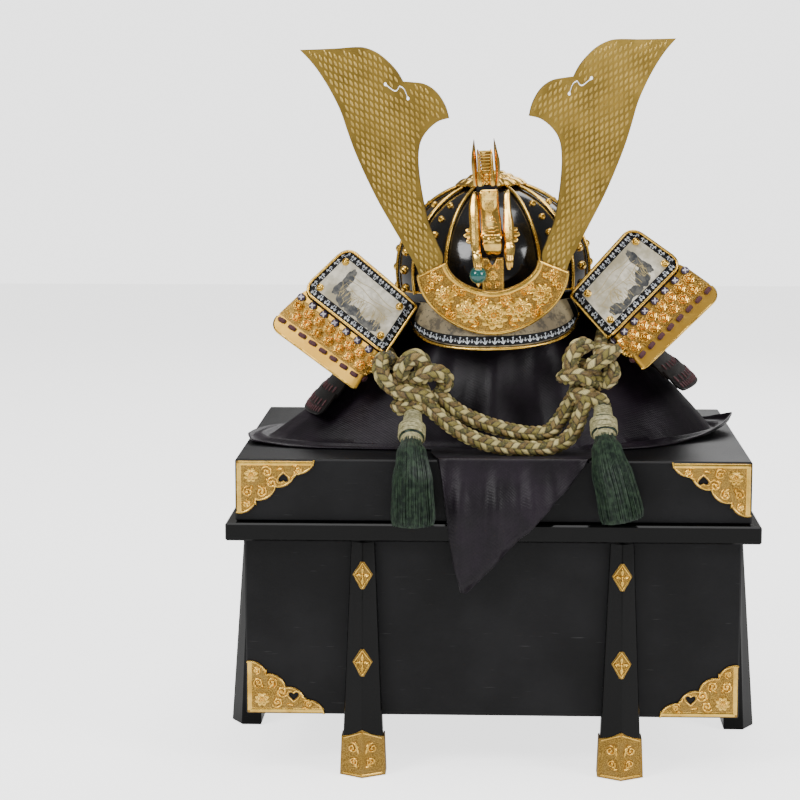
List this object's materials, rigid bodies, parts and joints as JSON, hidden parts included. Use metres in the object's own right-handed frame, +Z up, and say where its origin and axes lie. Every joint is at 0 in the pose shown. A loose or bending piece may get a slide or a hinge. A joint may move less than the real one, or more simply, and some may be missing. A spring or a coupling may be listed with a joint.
{
  "type": "kabuto display helmet with chest",
  "caption": "Samurai festival helmet with tall gilded horns, laced neck guard and turned-back wings, on a draped wooden stand over a lacquered storage chest.",
  "frame": {"origin": "on the floor under the middle of the chest", "axes": "+Z up, -Y to the front of the helmet and chest, +X to the right as seen from the front"},
  "size_m": [0.4772, 0.3758, 0.6199],
  "materials": {
    "black satin lacquer": "near-black fine-textured satin lacquer on wood",
    "black gloss lacquer": "polished black lacquer on wood",
    "gilt": "gilt, chased in relief",
    "black bowl lacquer": "polished black lacquer on metal",
    "old gold plate": "dull old gold, embossed with small lozenges",
    "green jewel": "polished blue-green",
    "gilt lame": "satin gilt with a polished edge",
    "dark lame lacquer": "black lacquer with brown lacing",
    "printed leather": "printed grey-tan with a black border",
    "picture leather": "printed cream and grey with a black border",
    "plain wood": "bare light wood",
    "dark satin cloth": "aubergine-black satin",
    "olive and cream cord": "twisted silk cord",
    "green tassel thread": "dark green silk thread"
  },
  "bodies": {
    "root": {"chest_front_board": "black satin lacquer", "chest_back_board": "black satin lacquer", "chest_left_board": "black satin lacquer", "chest_right_board": "black satin lacquer", "chest_bottom_board": "black satin lacquer", "chest_lid": "black satin lacquer", "chest_rim": "black gloss lacquer", "leg_front_left": "black gloss lacquer", "leg_front_right": "black gloss lacquer", "leg_back_left": "black gloss lacquer", "leg_back_right": "black gloss lacquer", "leg_side_left": "black gloss lacquer", "leg_side_right": "black gloss lacquer", "shoe_left": "gilt", "shoe_right": "gilt", "lozenge_left_upper": "gilt", "lozenge_left_lower": "gilt", "lozenge_right_upper": "gilt", "lozenge_right_lower": "gilt", "lid_corner_left": "gilt", "lid_corner_right": "gilt", "body_corner_left": "gilt", "body_corner_right": "gilt", "bowl_ribs": "gilt", "crown_ring": "gilt", "visor_rim": "gilt", "horn_holder": "gilt", "crest_post": "gilt", "crest": "gilt", "panel_rim_left": "gilt", "panel_rim_right": "gilt", "flower_plate_left": "gilt", "flower_plate_right": "gilt", "bowl": "black bowl lacquer", "horn_left": "old gold plate", "horn_right": "old gold plate", "crest_jewel": "green jewel", "lame_2": "gilt lame", "lame_1": "dark lame lacquer", "lame_3": "dark lame lacquer", "lame_4": "dark lame lacquer", "lame_5": "dark lame lacquer", "visor": "printed leather", "picture_panel_left": "picture leather", "picture_panel_right": "picture leather", "stand_base": "plain wood", "stand_post": "plain wood", "display_cloth": "dark satin cloth", "rope_front_lower": "olive and cream cord", "rope_front_upper": "olive and cream cord", "rope_back": "olive and cream cord", "knot_left": "olive and cream cord", "knot_right": "olive and cream cord", "tassel_left": "green tassel thread", "tassel_right": "green tassel thread"}
  },
  "joints": []
}
